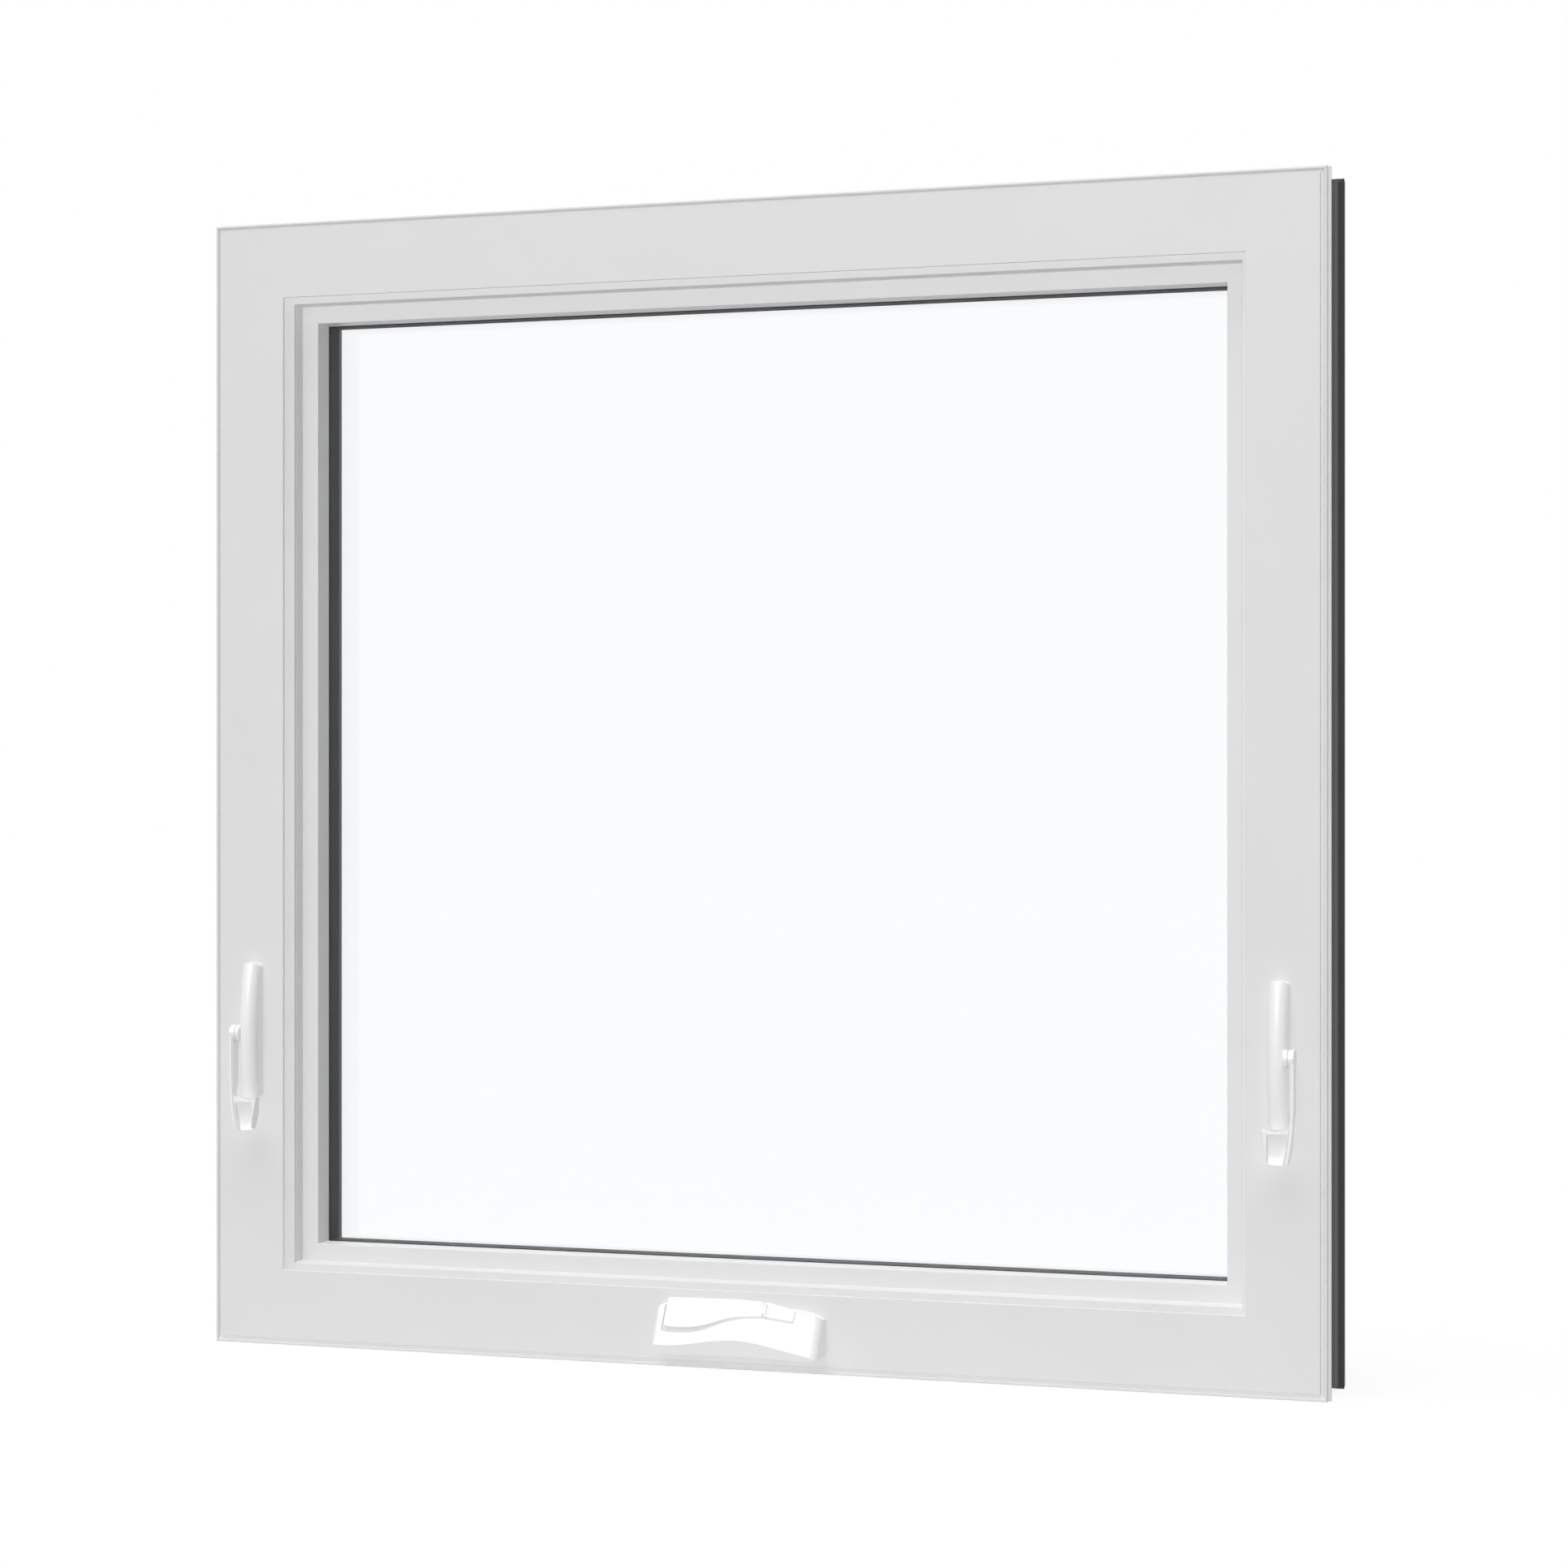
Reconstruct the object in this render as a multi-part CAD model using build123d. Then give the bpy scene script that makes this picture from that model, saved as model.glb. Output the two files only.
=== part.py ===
from build123d import *
import os
from math import atan, cos, degrees, sin

os.makedirs("parts", exist_ok=True)

# Awning window, seen from the room. X runs right, Y runs out of doors, Z runs up.
# The origin is the middle of the flat underside that rests on the wall's sill.
# A section is drawn by two distances: inset, from the rim towards the middle of the window,
# and depth, from the room-side face towards the outside.

# Overall size across the rim
width = 914.0
height = 914.0

# Room-side frame: face, rim and accessory groove round the outside
face_width = 61.0
rim_radius = 0.8
rim_flat = 1.7
rim_groove_in = 3.2
rim_groove_out = 4.65
rim_groove_bevel = 0.55
rim_groove_depth = 2.0
rim_depth = 6.6
rib_near = 10.5
rib_far = 13.7
rib_reach = 1.0
body_inset = 4.5
body_depth = 42.6
edge_radius = 0.5

# Screen channel under the face lip, and the stop that the sash closes against
lip_thickness = 2.0
channel_inset = 52.0
channel_floor = 11.2
stop_edge_inset = 65.5
stop_edge_thickness = 2.8
stop_web_inset = 66.3
stop_web_slope = 1.2
stop_depth = 23.0
rebate_inset = 42.0
seal_width = 5.5
seal_set_back = 0.5

# Sash and insulated glass
sash_face_depth = 25.8
sash_edge_inset = 46.0
sash_sight_inset = 79.8
sash_bevel = 0.6
glass_depth = 45.8
pane_thickness = 3.0
pane_gap = 16.0
glass_edge_inset = 68.0
setting_gap = 2.0
spacer_sight_inset = 80.4
sash_trim_depth = 76.5
sash_trim_bevel = 3.0
sash_trim_sight_inset = 79.4
sash_trim_lap = 2.0

# Aluminium trim round the outside of the frame
trim_depth = 80.4
trim_wall = 1.8
trim_sight_inset = 40.0
trim_lap_inset = 3.7
trim_waist_near = 49.4
trim_waist_far = 67.3
trim_waist_inset = 2.1
trim_waist_taper = 0.3
trim_flare_depth = 69.0
trim_flare_reach = 1.15

# Sash locks, one on each jamb. Heights of the handle are drops below the pivot.
lock_inset = 35.0
lock_pivot_height = 254.1
lock_pivot_proud = 12.5
housing_width = 15.5
housing_below = 53.1
housing_above = 56.6
housing_crown = 17.0
housing_foot_proud = 11.0
housing_head_proud = 9.5
housing_front_drop = 5.5
housing_edge_radius = 3.0
housing_corner_radius = 4.5
housing_end_margin = 0.1
boss_radius = 6.8
boss_end = 8.6
boss_sink = 2.9
boss_bevel = 0.9
pivot_radius = 3.0
pivot_clearance = 0.05
side_clearance = 0.3
arm_inner = 10.0
arm_thickness = 3.5
arm_back = 8.9
arm_front = 18.7
arm_bend = 0.8
arm_groove_near = 2.3
arm_groove_width = 0.6
arm_groove_depth = 0.5
pull_drop_top = 52.1
pull_drop_bottom = 78.1
pull_rim_sag = 2.2
pull_rim_rise = 1.6
pull_corner_radius = 5.0
pull_top_half = 10.7
pull_bottom_inner = 6.3
pull_bottom_outer = 8.9
pull_bottom_bow = 1.0
pull_back_top = 12.0
pull_back_bottom = 12.8
pull_back_hollow = 0.4
pull_neck_low = -3.4
pull_neck_high = 4.0
pull_root_high = 12.0
scoop_radius = 26.0
scoop_depth = 4.4
scoop_drop = 70.1
scoop_inner = 6.6
scoop_rim = 3.9

# Crank operator on the sill: cover, hub and folding handle. Curved edges are pairs of a share
# of the half length and a height above the rim.
cover_left = 68.0
cover_right = 68.5
cover_foot = 12.2
cover_top = 49.2
slope_height = 52.0
slope_proud = 7.0
slope_rise = 0.49
cover_ridge = [(-1.0, 20.8), (-0.72, 20.4), (-0.33, 24.1), (0.0, 25.9), (0.475, 21.8),
               (0.845, 17.3), (1.0, 15.8)]
skirt_rake = 0.3
cover_left_radius = 4.0
cover_right_radius = 8.0
cover_top_radius = 4.0
cover_low_radius = 5.0
shoulder_drop = 6.4
shoulder_run = 24.0
shoulder_bulge = (0.42, 0.29)
handle_tip = 61.1
handle_tip_slant = 0.4
handle_tip_top = 53.9
handle_tip_low = 30.6
handle_edge_top = [(-0.45, 54.5), (0.05, 55.3)]
handle_edge_low = [(-0.72, 30.1), (-0.50, 31.7), (-0.13, 39.3), (0.15, 42.3)]
handle_tip_proud = 4.0
handle_flush_at = 5.0
handle_level_at = -40.0
handle_corner_radius = 2.5
handle_sweep = 40.0
handle_draft = 0.25
bevel_width = 1.45
bevel_depth = 1.2
slit_at = 23.2
slit_top = 54.3
slit_low = 42.4
slit_gap = 0.25
hub_right = 46.0
hub_right_top = 49.7
hub_right_low = 40.0
hub_slant = 0.8
hub_depth = 4.6
recess_gap = 0.5
recess_floor_gap = 0.4
knuckle_radius = 1.7
fold_pin_radius = 1.0
ear_width = 1.8

overall = {"sill": width, "head": width, "left": height, "right": height}
quarter_turns = {"sill": 0, "left": 90, "head": 180, "right": -90}
seat_depth = 0.5 * (rib_far + body_depth)


def side_place(side):
    """Where a member drawn as the sill goes, for each of the four sides."""
    middle = {"sill": (0, 0), "left": (-width / 2, height / 2), "head": (0, height),
              "right": (width / 2, height / 2)}[side]
    spot = (middle[0], -seat_depth, middle[1] - body_inset)
    return Location(spot, (0, quarter_turns[side], 0))


def section(corners):
    """Closed section from (inset, depth) or (inset, depth, radius) corners."""
    shape = make_face(Polyline(*[corner[:2] for corner in corners], close=True))
    for corner in [corner for corner in corners if len(corner) == 3]:
        vertex = shape.vertices().sort_by_distance(corner[:2])[0]
        shape = fillet(vertex, corner[2])
    return shape


def member(corners, side):
    """One mitred member of a frame, with its section run along one side of the window."""
    run = overall[side]
    start = Plane(origin=(run / 2 + trim_flare_reach, 0, 0), x_dir=(0, 0, 1), z_dir=(-1, 0, 0))
    bar = extrude(start * section(corners), run + 2 * trim_flare_reach)
    low = -2 * trim_flare_reach
    high = 2 * face_width
    mitre = Polyline((-run / 2 + low, low), (run / 2 - low, low), (run / 2 - high, high),
                     (-run / 2 + high, high), close=True)
    wedge = extrude(Plane.XZ * make_face(mitre), trim_depth + rim_depth, both=True)
    return side_place(side) * (bar & wedge)


def frame_section():
    """White frame: rim, accessory groove, face, screen channel, stop and sash rebate."""
    return [
        (0, 0, rim_radius), (rim_flat, 0), (rim_groove_in, rim_groove_depth),
        (rim_groove_out, rim_groove_depth), (rim_groove_out + rim_groove_bevel, 0),
        (face_width, 0, edge_radius), (face_width, lip_thickness),
        (channel_inset, lip_thickness), (channel_inset, channel_floor),
        (stop_edge_inset, channel_floor, edge_radius),
        (stop_edge_inset, channel_floor + stop_edge_thickness),
        (stop_web_inset, channel_floor + stop_edge_thickness + stop_web_slope),
        (stop_web_inset, stop_depth), (rebate_inset, stop_depth), (rebate_inset, body_depth),
        (trim_sight_inset - trim_wall, body_depth),
        (trim_sight_inset - trim_wall, trim_depth - trim_wall),
        (body_inset + trim_wall, trim_depth - trim_wall), (body_inset + trim_wall, body_depth),
        (body_inset, body_depth), (body_inset, rib_far),
        (-rib_reach, rib_far), (-rib_reach, rib_near), (body_inset, rib_near - edge_radius),
        (body_inset, rim_depth), (0, rim_depth),
    ]


def frame_trim_section():
    """Dark aluminium trim, folded round the outdoor part of the frame."""
    core_near = body_inset + trim_wall
    core_far = trim_sight_inset - trim_wall
    return [
        (trim_lap_inset, body_depth), (trim_waist_inset + trim_waist_taper, trim_waist_near),
        (trim_waist_inset, trim_waist_far), (-trim_flare_reach, trim_flare_depth),
        (0, trim_depth), (trim_sight_inset, trim_depth, trim_wall / 2),
        (trim_sight_inset, body_depth), (core_far, body_depth),
        (core_far, trim_depth - trim_wall), (core_near, trim_depth - trim_wall),
        (core_near, body_depth),
    ]


def seal_section():
    """Flat weather seal between the stop and the sash face."""
    inner = stop_web_inset - seal_set_back
    return [(inner - seal_width, stop_depth), (inner, stop_depth),
            (inner, sash_face_depth), (inner - seal_width, sash_face_depth)]


def sash_section():
    """White sash: face, glazing leg and the pocket that the glass edge sits in."""
    pocket = glass_edge_inset - setting_gap
    glass_back = glass_depth + 2 * pane_thickness + pane_gap
    return [
        (sash_edge_inset, sash_face_depth), (sash_sight_inset, sash_face_depth, sash_bevel),
        (sash_sight_inset, glass_depth), (pocket, glass_depth), (pocket, glass_back),
        (sash_edge_inset, glass_back),
    ]


def sash_trim_section():
    """Dark aluminium face of the sash, which holds the glass from outside."""
    glass_back = glass_depth + 2 * pane_thickness + pane_gap
    return [
        (sash_edge_inset - sash_trim_lap, glass_back), (sash_trim_sight_inset, glass_back),
        (sash_trim_sight_inset, sash_trim_depth - sash_trim_bevel),
        (sash_trim_sight_inset - sash_trim_bevel, sash_trim_depth),
        (sash_edge_inset - sash_trim_lap, sash_trim_depth, trim_wall / 2),
    ]


def slab(inset, depth, thickness):
    """Flat sheet that reaches to one inset all round, such as a pane of glass."""
    sheet = Rectangle(width - 2 * inset, height - 2 * inset)
    at = Plane(origin=(0, depth - seat_depth, height / 2 - body_inset), x_dir=(1, 0, 0),
               z_dir=(0, -1, 0))
    return extrude(at * sheet, -thickness)


def glass_spacer():
    """Dark spacer bar, bent round the edge between the two panes."""
    near = glass_depth + pane_thickness
    return slab(glass_edge_inset, near, pane_gap) - slab(spacer_sight_inset, near, pane_gap)


def seal_ring(corners):
    """A seal that runs round all four sides in one piece."""
    return Part() + [member(corners, side) for side in quarter_turns]


def lock_place(side):
    """Pivot of one lock: across, out from the face and up; outward is +X on the right."""
    across = (width / 2 - lock_inset) * side
    return Location((across, -lock_pivot_proud - seat_depth, lock_pivot_height - body_inset))


def lock_plate(outline, inner, outer, side):
    """Plate cut to a side view of (out from the face, up), between two distances outward."""
    faces = Plane(origin=(inner * side, 0, 0), x_dir=(0, -1, 0), z_dir=(-1, 0, 0)) * outline
    return extrude(faces, -(outer - inner) * side)


def pivot_disc(radius, inner, outer, side):
    """Round bar on the pivot axis between two distances outward."""
    return lock_plate(Circle(radius), inner, outer, side)


def housing_bar():
    """Crowned bar: a D-shaped section swung round the arc of its front, seen from the side."""
    half = housing_width / 2
    back = -lock_pivot_proud
    crown = ThreePointArc((back + housing_head_proud, housing_above), (back + housing_crown, 0),
                          (back + housing_foot_proud, -housing_below))
    reach, centre = crown.radius, crown.arc_center
    shoulder = reach - housing_front_drop
    root = reach - 2 * housing_crown
    section_face = make_face([
        ThreePointArc((-half, -shoulder), (0, -reach), (half, -shoulder)),
        Line((half, -shoulder), (half, -root)),
        Line((half, -root), (-half, -root)),
        Line((-half, -root), (-half, -shoulder)),
    ])
    for across in (-half, half):
        corner = section_face.vertices().sort_by_distance((across, -shoulder))[0]
        section_face = fillet(corner, housing_edge_radius)
    swing = degrees(atan((housing_above + housing_below) / reach))
    hinge = (0, -centre.X, centre.Y)
    start = Pos(*hinge) * Rot(-swing, 0, 0) * section_face
    ring = revolve(start, Axis(hinge, (1, 0, 0)), 2 * swing)
    front = Pos(0, (housing_above - housing_below) / 2) * RectangleRounded(
        housing_width + 2 * housing_end_margin, housing_above + housing_below,
        housing_corner_radius)
    wall = Plane(origin=(0, lock_pivot_proud, 0), x_dir=(1, 0, 0), z_dir=(0, -1, 0))
    return ring & extrude(wall * front, 2 * housing_crown)


def lock_housing(side):
    """Fixed crowned bar with a pivot boss and pin on its outward side."""
    boss_start = housing_width / 2 - boss_sink
    boss = pivot_disc(boss_radius, boss_start, boss_end, side)
    rim = boss.edges().sort_by(Axis.X)[0 if side > 0 else -1]
    boss = chamfer(rim, boss_bevel)
    pin = pivot_disc(pivot_radius, 0, arm_inner + arm_thickness - side_clearance, side)
    return lock_place(side) * (housing_bar() + boss + pin)


def outer_edge(shift):
    """Outward edge of arm and pull in the room-side view, moved inward by a distance."""
    outer = arm_inner + arm_thickness - shift
    bend = -pull_drop_top + 2 * pull_top_half
    foot = (pull_bottom_outer - shift, -pull_drop_bottom)
    return [
        Line((outer, boss_radius), (outer, bend)),
        Spline((outer, bend), (outer - arm_bend, -pull_drop_top), foot,
               tangents=[(0, -1), (-0.25, -1)]),
    ]


def pull_outline():
    """Room-side view of the handle: arm, fillet and finger pull, outward to the right."""
    rim = -pull_drop_top
    low = -pull_drop_bottom
    outside = outer_edge(0)
    rim_end = (arm_inner, rim + pull_rim_rise)
    edges = outside + [
        ThreePointArc(outside[-1] @ 1, (pull_bottom_bow, low - pull_bottom_bow),
                      (-pull_bottom_inner, low)),
        Line((-pull_bottom_inner, low), (-pull_top_half, rim)),
        ThreePointArc((-pull_top_half, rim), (0, rim - pull_rim_sag), rim_end),
        Line(rim_end, (arm_inner, boss_radius)),
        Line((arm_inner, boss_radius), outside[0] @ 0),
    ]
    shape = make_face(edges)
    return fillet(shape.vertices().sort_by_distance(rim_end)[0], pull_corner_radius)


def arm_groove():
    """Fine groove that follows the outward edge from the eye to the foot of the pull."""
    near = outer_edge(arm_groove_near)
    far = outer_edge(arm_groove_near + arm_groove_width)
    outline = make_face(near + far + [Line(near[0] @ 0, far[0] @ 0),
                                      Line(near[-1] @ 1, far[-1] @ 1)])
    front = Plane.XZ.offset(arm_front - lock_pivot_proud - arm_groove_depth)
    return extrude(front * outline, arm_front)


def pull_scoop():
    """Hollow for the fingertip, open at the foot, with a rim at each side and at the top."""
    trough = Rot(0, 90, 0) * Cylinder(scoop_radius, 4 * pull_top_half)
    trough = Pos(0, -(arm_front - lock_pivot_proud + scoop_radius - scoop_depth),
                 -scoop_drop) * trough
    low = -pull_drop_bottom - scoop_depth
    right = outer_edge(scoop_rim)
    foot = right[-1] @ 1
    sides = make_face(right + [
        Line(foot, (foot.X, low)), Line((foot.X, low), (-scoop_inner, low)),
        Line((-scoop_inner, low), (-scoop_inner, boss_radius)),
        Line((-scoop_inner, boss_radius), right[0] @ 0)])
    return trough & extrude(Plane.XZ * sides, 2 * scoop_radius, both=True)


def pull_side_view():
    """Side view of the handle: level arm, and a pull that thins towards its tip."""
    low = -pull_drop_bottom - 2 * pull_bottom_bow
    rim = -pull_drop_top
    front = arm_front - lock_pivot_proud
    back = arm_back - lock_pivot_proud
    nape = pull_back_top - lock_pivot_proud
    tip = pull_back_bottom - lock_pivot_proud
    middle = 0.5 * (front + back)
    return make_face([
        Line((front, 0), (front, low)),
        Line((front, low), (tip, low)),
        Spline((tip, low), (back + pull_back_hollow, 0.5 * (rim + low)),
               (nape, rim + pull_neck_low)),
        Line((nape, rim + pull_neck_low), (nape, rim + pull_neck_high)),
        Line((nape, rim + pull_neck_high), (back, rim + pull_root_high)),
        Line((back, rim + pull_root_high), (back, 0)),
        ThreePointArc((back, 0), (middle, 0.5 * (front - back)), (front, 0)),
    ])


def lock_handle(side):
    """Moving handle: eye on the pivot, grooved arm beside the housing, scooped finger pull."""
    far = arm_inner + arm_thickness
    blade = extrude(Plane.XZ * pull_outline(), 2 * arm_front, both=True) - arm_groove()
    blade = blade - pull_scoop()
    if side < 0:
        blade = mirror(blade, Plane.YZ)
    blade = blade & lock_plate(pull_side_view(), -far, far, side)
    eye = pivot_disc(boss_radius, boss_end + side_clearance, far, side)
    bore = pivot_disc(pivot_radius + pivot_clearance, 0, 2 * far, side)
    return lock_place(side) * (blade + eye - bore)


slope_angle = atan(slope_rise)
slope_up = Vector(0, sin(slope_angle), cos(slope_angle))
slope_out = Vector(0, -cos(slope_angle), sin(slope_angle))


def on_slope(lift=0.0):
    """Plane on the operator's sloping front, x to the right and y up the slope."""
    spot = Vector(0, -slope_proud - seat_depth, slope_height - body_inset)
    return Plane(origin=spot + slope_out * lift, x_dir=(1, 0, 0), z_dir=slope_out)


def up_slope(level):
    """Distance up the slope of a height above the rim."""
    return (level - slope_height) / cos(slope_angle)


def slope_points(points, rise=0.0):
    """Points on the slope, from (share of half length, height above the rim) pairs."""
    return [(share * handle_tip, up_slope(level) + rise) for share, level in points]


def across_slope():
    """Plane at right angles to the slope: x to the right and y out of the sloping front."""
    return Plane(origin=on_slope().origin, x_dir=(1, 0, 0), z_dir=slope_up * -1)


def cover_front_view():
    """Room-side view of the cover, with its falling right shoulder."""
    corners = {(-cover_left, cover_foot): cover_low_radius,
               (cover_right, cover_foot): cover_low_radius,
               (-cover_left, cover_top): cover_top_radius}
    shoulder = (cover_right, cover_top - shoulder_drop)
    flat_end = (cover_right - shoulder_run, cover_top)
    bulge = (cover_right - shoulder_bulge[0] * shoulder_run,
             cover_top - shoulder_bulge[1] * shoulder_drop)
    low_left, low_right, top_left = corners
    outline = make_face([
        Line(low_left, low_right), Line(low_right, shoulder),
        ThreePointArc(shoulder, bulge, flat_end),
        Line(flat_end, top_left), Line(top_left, low_left)])
    for corner, radius in corners.items():
        outline = fillet(outline.vertices().sort_by_distance(corner)[0], radius)
    return outline


def cover_cross_view():
    """View of the cover along its slope, with a small left and a large right rounding."""
    tall = 2 * slope_height * slope_rise
    outline = make_face(Polyline((-cover_left, -tall), (cover_right, -tall), (cover_right, 0),
                                 (-cover_left, 0), close=True))
    for across, radius in ((-cover_left, cover_left_radius), (cover_right, cover_right_radius)):
        outline = fillet(outline.vertices().sort_by_distance((across, 0))[0], radius)
    return outline


def skirt_tool():
    """Space in front of the skirt, swept down and back from below the S-curved ridge."""
    ridge = Spline(*[(share * (cover_left if share < 0 else cover_right), up_slope(level))
                     for share, level in cover_ridge])
    start, end = ridge @ 0, ridge @ 1
    past = cover_right
    low = up_slope(-slope_height)
    below = make_face([
        ridge, Line(end, (end.X + past, end.Y)), Line((end.X + past, end.Y), (end.X + past, low)),
        Line((end.X + past, low), (start.X - past, low)),
        Line((start.X - past, low), (start.X - past, start.Y)),
        Line((start.X - past, start.Y), start)])
    return extrude(on_slope() * below, 4 * slope_height, dir=(0, skirt_rake, -1))


def crank_cover():
    """Operator cover: sloping front, S-curved ridge, raked skirt and recess for the handle."""
    wall = Plane(origin=(0, -seat_depth, -body_inset), x_dir=(1, 0, 0), z_dir=(0, -1, 0))
    body = extrude(wall * cover_front_view(), 2 * slope_height)
    body = body & extrude(across_slope() * cover_cross_view(), 2 * slope_height, both=True)
    return body - skirt_tool() - recess_tool()


def handle_outline(rise):
    """Folding handle seen square to the slope, set in from the recess's edge by a distance."""
    inward = Vector(rise, 0)
    tip_top = Vector(-handle_tip + handle_tip_slant, up_slope(handle_tip_top)) + inward
    tip_low = Vector(-handle_tip - handle_tip_slant, up_slope(handle_tip_low) + rise) + inward
    end_top = (slit_at - slit_gap, up_slope(slit_top))
    end_low = (slit_at - slit_gap, up_slope(slit_low) + rise)
    shape = make_face([
        Spline(tip_top, *slope_points(handle_edge_top), end_top),
        Line(end_top, end_low),
        Spline(end_low, *reversed(slope_points(handle_edge_low, rise)), tip_low),
        Line(tip_low, tip_top),
    ])
    for corner in (tip_top, tip_low):
        shape = fillet(shape.vertices().sort_by_distance(corner)[0], handle_corner_radius)
    return shape


def hub_outline(rise):
    """Hub between the slit and the right end of the recess, seen square to the slope."""
    return make_face(Polyline(
        (slit_at, up_slope(slit_top)), (hub_right, up_slope(hub_right_top)),
        (hub_right - hub_slant, up_slope(hub_right_low) + rise),
        (slit_at, up_slope(slit_low) + rise), close=True))


def bevelled(outline, lifts):
    """Body with a square foot and a lower edge that leans in, between lifts off the slope."""
    foot = recess_gap
    face = foot + bevel_width
    rises = [foot, face, face + handle_draft * lifts[-1]]
    rings = [on_slope(lift) * outline(rise) for lift, rise in zip(lifts, rises)]
    root = extrude(rings[0], hub_depth + lifts[0], dir=slope_out * -1)
    return root + loft(rings, ruled=True)


def recess_tool():
    """Space that the hub and the folded handle lie in, open at the cover's top."""
    reach = up_slope(handle_tip_top) + hub_depth
    tip_low = (-handle_tip - handle_tip_slant, up_slope(handle_tip_low))
    tip_top = (-handle_tip + handle_tip_slant, reach)
    slit_corner = (slit_at, up_slope(slit_low))
    hub_low = (hub_right - hub_slant + recess_gap, up_slope(hub_right_low))
    hub_top = (hub_right + recess_gap, up_slope(hub_right_top))
    outline = make_face([
        Spline(tip_low, *slope_points(handle_edge_low), slit_corner),
        Line(slit_corner, hub_low), Line(hub_low, hub_top),
        Line(hub_top, (hub_top[0], reach)), Line((hub_top[0], reach), tip_top),
        Line(tip_top, tip_low),
    ])
    outline = fillet(outline.vertices().sort_by_distance(tip_low)[0], handle_corner_radius)
    floor = -hub_depth - recess_floor_gap
    return extrude(on_slope(floor) * outline, handle_tip_proud - floor)


def fold_bar(outline, low, high):
    """Bar along the fold axis, between two distances up the slope."""
    return extrude(across_slope().offset(-high) * outline, high - low)


def knuckle_outline():
    """Rounded end of an ear about the fold axis, joined to the hub."""
    return fold_axis_spot() * (Circle(knuckle_radius) + Pos(knuckle_radius, 0) * Rectangle(
        2 * knuckle_radius, 2 * knuckle_radius))


def pocket_outline():
    """Room for an ear in the handle, open to the front and towards the hub."""
    room = knuckle_radius + slit_gap
    return fold_axis_spot() * (Circle(room) + Pos(room, 0) * Rectangle(2 * room, 2 * room) +
                               Pos(0, room) * Rectangle(2 * room, 2 * room))


def fold_axis_spot():
    """Fold axis: set in from the end of the handle and below its front by one radius."""
    return Pos(slit_at - slit_gap - knuckle_radius, -knuckle_radius)


def ear_spans():
    """The two stretches of the fold axis that the hub's ears take."""
    low = up_slope(slit_low) + recess_gap + bevel_width
    high = up_slope(slit_top)
    return [(low, low + ear_width), (high - ear_width, high)]


def crank_handle():
    """Folded handle: level with the hub at the slit and prouder towards its tip."""
    plate = bevelled(handle_outline, (-bevel_depth, 0, handle_tip_proud))
    tip = -handle_tip - 2 * handle_corner_radius
    slit = slit_at - slit_gap
    side_view = make_face(Polyline(
        (tip, -hub_depth), (slit, -hub_depth), (slit, 0), (handle_flush_at, 0),
        (handle_level_at, handle_tip_proud), (tip, handle_tip_proud), close=True))
    for corner, radius in (((slit, 0), knuckle_radius), ((slit, -hub_depth), knuckle_radius),
                           ((handle_flush_at, 0), handle_sweep),
                           ((handle_level_at, handle_tip_proud), handle_sweep)):
        side_view = fillet(side_view.vertices().sort_by_distance(corner)[0], radius)
    handle = plate & fold_bar(side_view, -2 * handle_tip, 2 * handle_tip)
    lower, upper = ear_spans()
    for low, high in ((lower[0] - slit_gap, lower[1] + slit_gap),
                      (upper[0] - slit_gap, upper[1] + ear_width)):
        handle = handle - fold_bar(pocket_outline(), low, high)
    bore = fold_axis_spot() * Circle(fold_pin_radius + pivot_clearance)
    return handle - fold_bar(bore, lower[0], handle_tip)


def crank_hub():
    """Hub with the two ears and the pin that the handle folds on."""
    hub = bevelled(hub_outline, (-bevel_depth, 0))
    lower, upper = ear_spans()
    for low, high in (lower, upper):
        hub = hub + fold_bar(knuckle_outline(), low, high)
    pin = fold_axis_spot() * Circle(fold_pin_radius)
    return hub + fold_bar(pin, lower[0], upper[1])


pieces = {}
for side, name in {"sill": "sill", "head": "head", "left": "left_jamb",
                   "right": "right_jamb"}.items():
    pieces["frame_" + name] = member(frame_section(), side)
    pieces["frame_trim_" + name] = member(frame_trim_section(), side)
for side, name in {"sill": "bottom_rail", "head": "top_rail", "left": "left_stile",
                   "right": "right_stile"}.items():
    pieces["sash_" + name] = member(sash_section(), side)
    pieces["sash_trim_" + name] = member(sash_trim_section(), side)
pieces["weather_seal"] = seal_ring(seal_section())
pieces["glass_inner_pane"] = slab(glass_edge_inset, glass_depth, pane_thickness)
pieces["glass_outer_pane"] = slab(
    glass_edge_inset, glass_depth + pane_thickness + pane_gap, pane_thickness)
pieces["glass_spacer"] = glass_spacer()
for side, name in ((-1, "left"), (1, "right")):
    pieces[name + "_lock_housing"] = lock_housing(side)
    pieces[name + "_lock_handle"] = lock_handle(side)
pieces["crank_cover"] = crank_cover()
pieces["crank_hub"] = crank_hub()
pieces["crank_handle"] = crank_handle()

for name, piece in pieces.items():
    export_step(piece, "parts/" + name + ".step")
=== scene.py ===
from math import pi, radians

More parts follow.
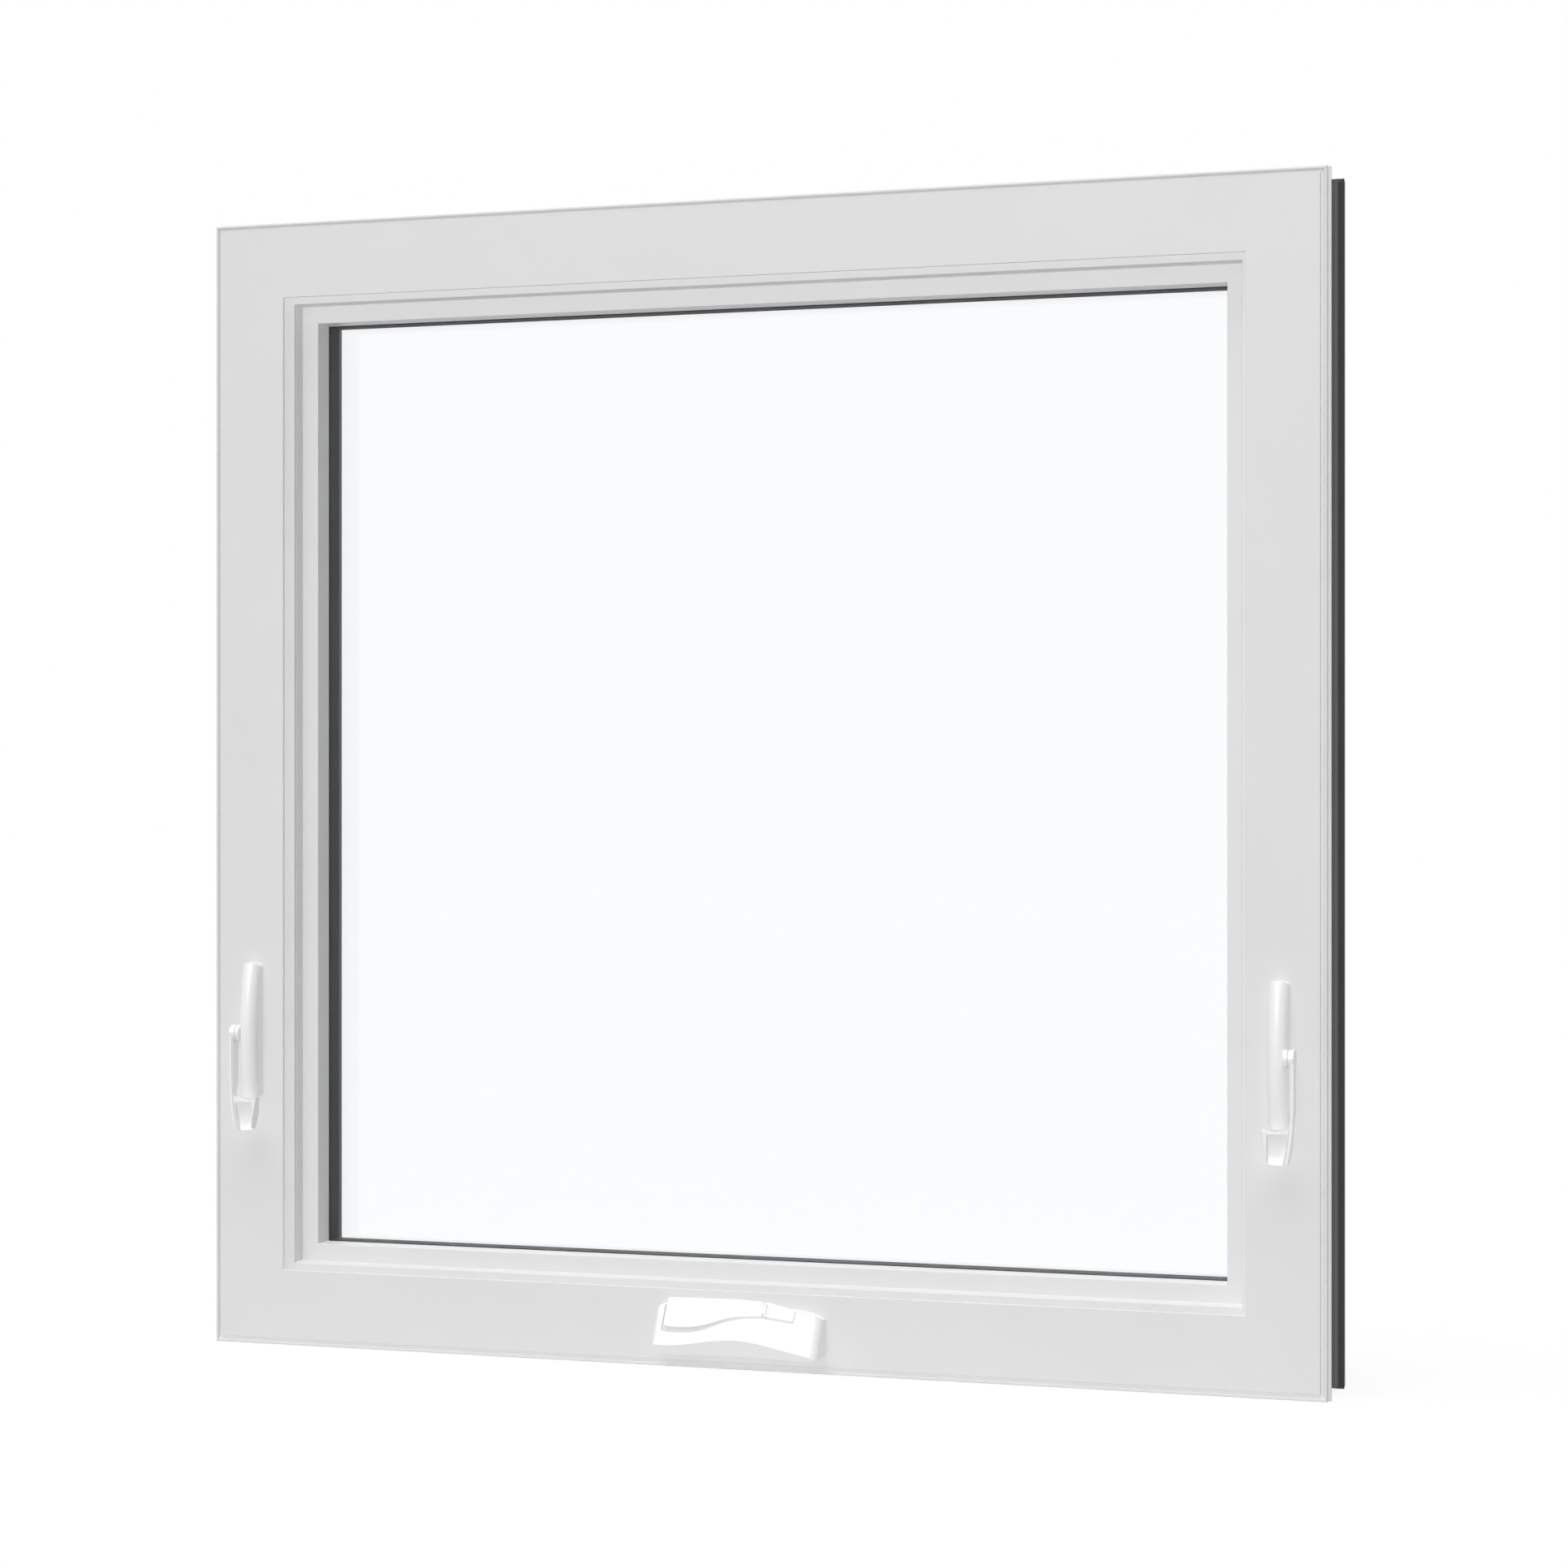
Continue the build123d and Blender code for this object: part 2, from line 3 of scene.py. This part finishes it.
import bpy
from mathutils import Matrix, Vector


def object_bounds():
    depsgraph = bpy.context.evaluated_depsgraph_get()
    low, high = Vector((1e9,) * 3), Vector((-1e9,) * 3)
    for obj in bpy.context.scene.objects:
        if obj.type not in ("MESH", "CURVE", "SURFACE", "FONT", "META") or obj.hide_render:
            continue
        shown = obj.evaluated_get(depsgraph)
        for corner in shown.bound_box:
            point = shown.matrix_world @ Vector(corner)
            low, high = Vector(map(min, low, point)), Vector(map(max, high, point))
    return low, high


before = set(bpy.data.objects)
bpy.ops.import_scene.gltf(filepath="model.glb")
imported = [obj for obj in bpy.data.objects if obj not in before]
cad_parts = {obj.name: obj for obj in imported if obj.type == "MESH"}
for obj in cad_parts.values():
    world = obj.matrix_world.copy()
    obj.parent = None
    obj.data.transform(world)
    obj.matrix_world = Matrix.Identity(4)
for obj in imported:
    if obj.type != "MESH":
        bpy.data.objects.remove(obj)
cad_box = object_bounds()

# The camera stands level with the middle of the window, to its right, and looks 18 degrees
# to the left. The long lens gives the photograph's strong taper without any shift.
scene = bpy.context.scene
scene.view_settings.view_transform = "Standard"
eye = (0.9031, -2.6326, 0.4523)
gaze = (-0.3165, 0.9486, 0.0)
camera_data = bpy.data.cameras.new("camera")
camera_data.sensor_width = 36.0
camera_data.lens = 81.19
camera = bpy.data.objects.new("camera", camera_data)
camera.location = eye
camera.rotation_euler = Vector(gaze).to_track_quat("-Z", "Y").to_euler()
scene.collection.objects.link(camera)
scene.camera = camera

# The studio is a room that looks white to the camera, in reflections and through the glass,
# but lights the window only a little, so that the lamps do the shading.


def linear(hex_colour):
    """Linear colour of an sRGB hex value such as #dcdcdc."""
    parts = [int(hex_colour[at:at + 2], 16) / 255 for at in (1, 3, 5)]
    return [part / 12.92 if part <= 0.04045 else ((part + 0.055) / 1.055) ** 2.4
            for part in parts] + [1.0]


def add(tree, kind, links=(), sockets=None, **settings):
    """Add one node, with links as (socket, from node, output) and values for its sockets."""
    node = tree.nodes.new("ShaderNode" + kind)
    for name, value in settings.items():
        setattr(node, name, value)
    for socket, value in (sockets or {}).items():
        node.inputs[socket].default_value = value
    for socket, source, output in links:
        tree.links.new(source.outputs[output], node.inputs[socket])
    return node


def looked_at(tree, rays):
    """1 where the camera looks, straight or by way of gloss or glass, and 0 for light."""
    straight = add(tree, "Math", [(0, rays, "Is Camera Ray"), (1, rays, "Is Glossy Ray")],
                   operation="MAXIMUM")
    return add(tree, "Math", [(0, straight, 0), (1, rays, "Is Transmission Ray")],
               operation="MAXIMUM")


room_grey, room_white = "#404040", "#ffffff"
world = bpy.data.worlds.new("white_room")
scene.world = world
world.use_nodes = True
tree = world.node_tree
tree.nodes.clear()
rays = add(tree, "LightPath")
lighting = add(tree, "Background", sockets={"Color": linear(room_grey), "Strength": 1.0})
backdrop = add(tree, "Background", sockets={"Color": linear(room_white), "Strength": 1.0})
mixed = add(tree, "MixShader", [(0, looked_at(tree, rays), 0), (1, lighting, 0),
                                (2, backdrop, 0)])
add(tree, "OutputWorld", [("Surface", mixed, 0)])

# The floor is a wide painted sheet that the window stands on. The camera sees it nearly as
# white as the room, with the window's soft shadow on it.
floor_half = 12.0
floor_glow = 0.8
floor_white, floor_bounce = "#ffffff", "#cbcbcb"


def new_material(name):
    """New material and its node tree, which is still empty."""
    material = bpy.data.materials.new(name)
    material.use_nodes = True
    material.node_tree.nodes.clear()
    return material, material.node_tree


floor_level = cad_box[0][2]
floor_mesh = bpy.data.meshes.new("floor")
floor_mesh.from_pydata([(-floor_half, -floor_half, floor_level),
                        (floor_half, -floor_half, floor_level),
                        (floor_half, floor_half, floor_level),
                        (-floor_half, floor_half, floor_level)], [], [(0, 1, 2, 3)])
floor = bpy.data.objects.new("floor", floor_mesh)
scene.collection.objects.link(floor)

# Matt floor paint: plain white. Most of that white is a glow that only the camera sees, and
# to the light that it throws back on the window it is a pale grey.
floor_paint, tree = new_material("pale_studio_floor_paint")
rays = add(tree, "LightPath")
share = add(tree, "Math", [(0, looked_at(tree, rays), 0)], {1: floor_glow},
            operation="MULTIPLY")
paint = add(tree, "MixRGB", [("Fac", rays, "Is Diffuse Ray")],
            {"Color1": linear(floor_white), "Color2": linear(floor_bounce)})
matt = add(tree, "BsdfDiffuse", [("Color", paint, 0)])
glow = add(tree, "Emission", sockets={"Color": linear(floor_white), "Strength": 1.0})
mixed = add(tree, "MixShader", [(0, share, 0), (1, matt, 0), (2, glow, 0)])
add(tree, "OutputMaterial", [("Surface", mixed, 0)])
floor_mesh.materials.append(floor_paint)

# The lamps are large and soft. The key comes from above the front, a little from the left,
# so faces turned up and forward are the brightest, and those turned sideways or down go
# grey. Only the shadow light casts a shadow.


def broad_lamp(name, travel, share, spread, casts_shadow=False, in_gloss=False):
    """Even light that travels one way. A share of 1, straight on, shows a colour as written."""
    lamp = bpy.data.lights.new(name, "SUN")
    lamp.angle = radians(spread)
    lamp.energy = share * pi
    lamp.use_shadow = casts_shadow
    holder = bpy.data.objects.new(name, lamp)
    holder.rotation_euler = Vector(travel).to_track_quat("-Z", "Y").to_euler()
    holder.visible_glossy = in_gloss
    holder.visible_transmission = False
    scene.collection.objects.link(holder)


broad_lamp("room_light", travel=(0, 1, 0), share=0.12, spread=60)
broad_lamp("outdoor_light", travel=(0, -1, 0), share=0.42, spread=60)
broad_lamp("right_light", travel=(-1, 0, 0), share=0.10, spread=60)
broad_lamp("ceiling_light", travel=(0, 0, -1), share=0.36, spread=60)
# A wider key would show in the top right of the glass.
broad_lamp("key_light", travel=(0.18, 1, -0.6), share=0.50, spread=40, in_gloss=True)
broad_lamp("shadow_light", travel=(0.15, 0.3, -1), share=0.30, spread=40, casts_shadow=True)

# Frame and sash members: rigid white vinyl, extruded in long bars, cut at 45 degrees and
# welded at the corners.
millimetre = 0.001
die_line_pitch = 0.9 * millimetre
die_line_run = 500 * millimetre
die_line_depth = 0.05 * millimetre
vinyl_cloud = 60 * millimetre
vinyl_edge = 0.2 * millimetre


def finish(nodes, material):
    """Give every named CAD node one material."""
    for name in nodes:
        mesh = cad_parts[name].data
        mesh.materials.clear()
        mesh.materials.append(material)


def extruded_vinyl(name, along):
    """White vinyl with die lines that run along one axis: 0 for X, 2 for Z."""
    material, tree = new_material(name)
    where = add(tree, "TexCoord")
    stretch = [1 / die_line_pitch] * 3
    stretch[along] = 1 / die_line_run
    stretched = add(tree, "Mapping", [("Vector", where, "Object")], {"Scale": stretch})
    lines = add(tree, "TexNoise", [("Vector", stretched, 0)], {"Scale": 1.0, "Detail": 2.0})
    cloud = add(tree, "TexNoise", [("Vector", where, "Object")],
                {"Scale": 1 / vinyl_cloud, "Detail": 3.0})
    patches = add(tree, "MapRange", [("Value", cloud, 0)], {"From Min": 0.3, "From Max": 0.7})
    tone = add(tree, "MixRGB", [("Fac", patches, 0)],
               {"Color1": linear("#dbdbdb"), "Color2": linear("#dddddd")})
    gloss = add(tree, "MapRange", [("Value", lines, 0)], {"To Min": 0.36, "To Max": 0.46})
    edge = add(tree, "Bevel", sockets={"Radius": vinyl_edge}, samples=4)
    ripple = add(tree, "Bump", [("Height", lines, 0), ("Normal", edge, 0)],
                 {"Strength": 0.06, "Distance": die_line_depth})
    skin = add(tree, "BsdfPrincipled", [("Base Color", tone, 0), ("Roughness", gloss, 0),
                                        ("Normal", ripple, 0)], {"IOR": 1.53})
    add(tree, "OutputMaterial", [("Surface", skin, 0)])
    return material


# Extruded vinyl: smooth and slightly glossy, with faint die lines that run along each bar.
level_vinyl = extruded_vinyl("extruded_white_vinyl_level_bars", 0)
upright_vinyl = extruded_vinyl("extruded_white_vinyl_upright_bars", 2)
finish(["frame_sill", "frame_head", "sash_bottom_rail", "sash_top_rail"], level_vinyl)
finish(["frame_left_jamb", "frame_right_jamb", "sash_left_stile", "sash_right_stile"],
       upright_vinyl)

# Weather seal: a soft extruded strip of white thermoplastic rubber, pressed into the frame
# all round, which the sash closes against.
pore_size = 1.5 * millimetre

# Thermoplastic rubber: matt, and a little darker than the vinyl beside it. The pores are
# drawn far coarser than real ones, or they wouldn't show.
seal_rubber, tree = new_material("white_thermoplastic_rubber")
where = add(tree, "TexCoord")
pores = add(tree, "TexNoise", [("Vector", where, "Object")],
            {"Scale": 1 / pore_size, "Detail": 2.0})
tone = add(tree, "MixRGB", [("Fac", pores, 0)],
           {"Color1": linear("#d2d2d2"), "Color2": linear("#dadada")})
skin = add(tree, "BsdfPrincipled", [("Base Color", tone, 0)], {"Roughness": 0.75, "IOR": 1.5})
add(tree, "OutputMaterial", [("Surface", skin, 0)])
finish(["weather_seal"], seal_rubber)

# Outdoor trim: roll-formed aluminium with a baked powder coat, mitred at the corners and
# fixed over the outdoor side of the frame and the sash.
coat_peel = 1.6 * millimetre
coat_peel_depth = 0.1 * millimetre
coat_cloud = 40 * millimetre

# Powder coat: dark grey, with a satin sheen that fine orange peel breaks up. A real coat has
# an IOR of about 1.5. It is lower here, or the white room would turn the facets pale.
trim_coat, tree = new_material("dark_powder_coat_on_aluminium")
where = add(tree, "TexCoord")
peel = add(tree, "TexNoise", [("Vector", where, "Object")],
           {"Scale": 1 / coat_peel, "Detail": 2.0})
cloud = add(tree, "TexNoise", [("Vector", where, "Object")],
            {"Scale": 1 / coat_cloud, "Detail": 3.0})
tone = add(tree, "MixRGB", [("Fac", cloud, 0)],
           {"Color1": linear("#343537"), "Color2": linear("#3a3b3d")})
bump = add(tree, "Bump", [("Height", peel, 0)],
           {"Strength": 0.12, "Distance": coat_peel_depth})
skin = add(tree, "BsdfPrincipled", [("Base Color", tone, 0), ("Normal", bump, 0)],
           {"Roughness": 0.5, "IOR": 1.33})
add(tree, "OutputMaterial", [("Surface", skin, 0)])
finish([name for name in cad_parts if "_trim_" in name], trim_coat)

# Insulated glass: two panes of clear float glass, 3 mm thick and 16 mm apart, sealed to the
# spacer round their edge and set into the sash.
draw_size = 180 * millimetre
draw_depth = 0.2 * millimetre

# Float glass: clear and a shade blue, with a slow ripple from the draw. Its reflection is set
# weak, because the dark reveals show clearly through it in the photograph.
float_glass, tree = new_material("clear_float_glass")
where = add(tree, "TexCoord")
draw = add(tree, "TexNoise", [("Vector", where, "Object")],
           {"Scale": 1 / draw_size, "Detail": 1.0})
ripple = add(tree, "Bump", [("Height", draw, 0)], {"Strength": 0.02, "Distance": draw_depth})
skin = add(tree, "BsdfPrincipled", [("Normal", ripple, 0)],
           {"Base Color": linear("#fcfdfe"), "Roughness": 0.0, "IOR": 1.52,
            "Transmission Weight": 1.0, "Specular IOR Level": 0.2})
add(tree, "OutputMaterial", [("Surface", skin, 0)])
finish(["glass_inner_pane", "glass_outer_pane"], float_glass)

# Spacer: a dark bar coated with butyl, bent round the edge between the two panes. It holds
# them apart and shows as a black line inside the sash.
butyl_grain = 0.8 * millimetre
butyl_grain_depth = 0.1 * millimetre

# Butyl: nearly black, matt and grainy.
spacer_butyl, tree = new_material("dark_butyl_spacer")
where = add(tree, "TexCoord")
grain = add(tree, "TexNoise", [("Vector", where, "Object")],
            {"Scale": 1 / butyl_grain, "Detail": 2.0})
tone = add(tree, "MixRGB", [("Fac", grain, 0)],
           {"Color1": linear("#15171b"), "Color2": linear("#1d1f23")})
bump = add(tree, "Bump", [("Height", grain, 0)],
           {"Strength": 0.3, "Distance": butyl_grain_depth})
skin = add(tree, "BsdfPrincipled", [("Base Color", tone, 0), ("Normal", bump, 0)],
           {"Roughness": 0.7, "IOR": 1.4})
add(tree, "OutputMaterial", [("Surface", skin, 0)])
finish(["glass_spacer"], spacer_butyl)

# Locks: a long rounded housing fixed to each jamb, with a handle that turns on a pivot at its
# side. Both are die-cast zinc with white enamel, baked on.
enamel_white = ("#eaeaea", "#eeeeee")
enamel_peel = 1.2 * millimetre
white_skin_depth = 0.05 * millimetre
lock_edge = 1.0 * millimetre


def glossy_white(name, shades, peel_size, roughness, edge_radius):
    """White enamel or plastic with a fine uneven skin and rounded edges."""
    material, tree = new_material(name)
    where = add(tree, "TexCoord")
    peel = add(tree, "TexNoise", [("Vector", where, "Object")],
               {"Scale": 1 / peel_size, "Detail": 2.0})
    tone = add(tree, "MixRGB", [("Fac", peel, 0)],
               {"Color1": linear(shades[0]), "Color2": linear(shades[1])})
    edge = add(tree, "Bevel", sockets={"Radius": edge_radius}, samples=6)
    bump = add(tree, "Bump", [("Height", peel, 0), ("Normal", edge, 0)],
               {"Strength": 0.1, "Distance": white_skin_depth})
    skin = add(tree, "BsdfPrincipled", [("Base Color", tone, 0), ("Normal", bump, 0)],
               {"Roughness": roughness, "IOR": 1.5, "Coat Weight": 0.7,
                "Coat Roughness": 0.25})
    add(tree, "OutputMaterial", [("Surface", skin, 0)])
    return material


# Baked enamel: a clean white gloss with very fine orange peel, thick enough to round every
# cast edge.
lock_enamel = glossy_white("white_enamel_on_zinc_locks", enamel_white, enamel_peel, 0.32,
                           lock_edge)
finish(["left_lock_housing", "left_lock_handle", "right_lock_housing", "right_lock_handle"],
       lock_enamel)

# Crank hub and handle: die-cast zinc, enamelled like the locks. The handle folds on a pin in
# the hub and lies in the cover's recess.
crank_edge = 0.35 * millimetre

# The same enamel, glossier and on sharper edges, so the handle's bevel and slit stay crisp.
crank_enamel = glossy_white("white_enamel_on_zinc_crank", enamel_white, enamel_peel, 0.3,
                            crank_edge)
finish(["crank_hub", "crank_handle"], crank_enamel)

# Crank cover: a shell of white ABS, moulded in one piece and clipped over the crank's gears
# on the sill.
cover_white = ("#e9e9e9", "#ededed")
spark_texture = 0.9 * millimetre
cover_edge = 1.2 * millimetre

# Moulded ABS: a softer shine than the enamel's, on well rounded edges. The mould's spark
# texture is drawn coarser than a real one, so that it shows.
moulded_abs = glossy_white("moulded_white_abs", cover_white, spark_texture, 0.34, cover_edge)
finish(["crank_cover"], moulded_abs)
